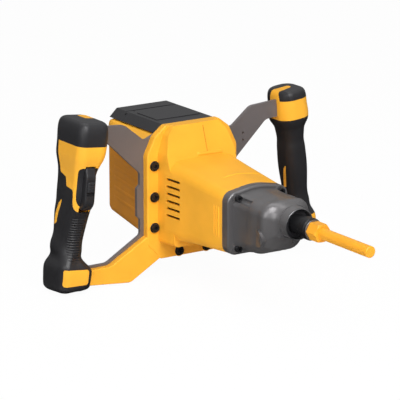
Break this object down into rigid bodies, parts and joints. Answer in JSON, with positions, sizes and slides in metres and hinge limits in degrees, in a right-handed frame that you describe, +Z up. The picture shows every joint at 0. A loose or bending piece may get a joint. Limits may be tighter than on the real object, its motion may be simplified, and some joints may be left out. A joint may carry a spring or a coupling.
{
  "type": "two-handed mixing drill",
  "caption": "Two-handed mixing drill on a flat frame plate: splayed handles either side, gear case and paddle shaft in front, hinged battery bay behind.",
  "frame": {"origin": "on the spindle axis at the front face of the paddle shaft's hex collar", "axes": "the paddle shaft leaves along -Y, +Z is up with the handles upright, +X points to the support handle"},
  "size_m": [0.4191, 0.519, 0.2329],
  "materials": {
    "yellow_plastic": "satin moulded",
    "yellow_trim": "satin moulded",
    "black_plastic": "fine grain",
    "lock_plastic": "fine grain",
    "black_rubber": "matt ribbed",
    "plate_steel": "satin grey",
    "gear_case_metal": "satin grey coat",
    "bare_aluminium": "as cast",
    "bare_steel": "machined",
    "black_steel": "black oxide",
    "yellow_steel": "satin coat",
    "winding_copper": "enamelled"
  },
  "bodies": {
    "housing": {"battery_bay": "yellow_plastic", "battery_pack": "black_plastic", "controller": "bare_aluminium", "frame_plate": "plate_steel", "front_housing": "yellow_plastic", "gear_case": "gear_case_metal", "gear_case_screws": "black_steel", "gear_plate": "bare_aluminium", "handle_screws": "black_steel", "hinge_cover": "black_plastic", "housing_bolts": "black_steel", "layshaft_front_bearing": "bare_steel", "layshaft_rear_bearing": "bare_steel", "lid_hinge_pin": "bare_steel", "motor_front_bracket": "bare_aluminium", "motor_rear_bracket": "bare_aluminium", "motor_sleeve": "bare_aluminium", "plate_nuts": "bare_steel", "rotor_front_bearing": "bare_steel", "rotor_rear_bearing": "bare_steel", "spindle_front_bearing": "bare_steel", "spindle_rear_bearing": "bare_steel", "spindle_seal": "black_rubber", "stator_core": "bare_steel", "stator_windings": "winding_copper", "support_handle_cap": "black_plastic", "support_handle_foot": "black_rubber", "support_handle_foot_inlay": "yellow_trim", "support_handle_front_shell": "yellow_plastic", "support_handle_grip": "black_rubber", "support_handle_grip_inlays": "yellow_trim", "support_handle_rear_shell": "black_plastic", "switch_module": "black_plastic", "terminal_block": "black_plastic", "trigger_handle_cap": "black_plastic", "trigger_handle_cap_inlay": "yellow_trim", "trigger_handle_foot": "black_rubber", "trigger_handle_foot_inlay": "yellow_trim", "trigger_handle_front_shell": "yellow_plastic", "trigger_handle_grip": "black_rubber", "trigger_handle_grip_inlays": "yellow_trim", "trigger_handle_rear_shell": "black_plastic", "trigger_pin": "bare_steel"},
    "spindle": {"spindle": "black_steel", "output_gear": "bare_steel", "output_gear_key": "bare_steel", "retaining_ring": "bare_steel", "paddle_shaft": "yellow_steel"},
    "layshaft": {"layshaft": "bare_steel", "first_stage_gear": "bare_steel"},
    "rotor": {"rotor_shaft": "bare_steel", "rotor_core": "bare_steel", "cooling_fan": "black_plastic"},
    "trigger": {"trigger": "black_plastic"},
    "lock": {"trigger_lock": "lock_plastic"},
    "lid": {"battery_lid": "black_plastic"}
  },
  "joints": [
    {"name": "spindle_spin", "type": "hinge", "parent": "housing", "child": "spindle", "pos_m": [0, 0, 0], "axis": [0, 1, 0], "continuous": true},
    {"name": "layshaft_spin", "type": "hinge", "parent": "housing", "child": "layshaft", "pos_m": [0, 0, -0.025], "axis": [0, 1, 0], "continuous": true},
    {"name": "rotor_spin", "type": "hinge", "parent": "housing", "child": "rotor", "pos_m": [0, 0, 0], "axis": [0, 1, 0], "continuous": true},
    {"name": "trigger_pull", "type": "hinge", "parent": "housing", "child": "trigger", "pos_m": [-0.17067, 0.292, 0.04373], "axis": [0.994, 0, -0.1097], "range_deg": [0, 8], "stiffness_Nm_per_rad": 0.6, "springref_deg": -8.59},
    {"name": "lock_slide", "type": "slide", "parent": "trigger", "child": "lock", "axis": [-0.1097, 0, -0.994], "range_m": [0, 0.004]},
    {"name": "lid_swing", "type": "hinge", "parent": "housing", "child": "lid", "pos_m": [0, 0.392, 0.08], "axis": [-1, 0, 0], "range_deg": [0, 85]}
  ],
  "couplings": [
    {"joint": "layshaft_spin", "follows": "spindle_spin", "ratio": -4},
    {"joint": "rotor_spin", "follows": "spindle_spin", "ratio": 21}
  ]
}
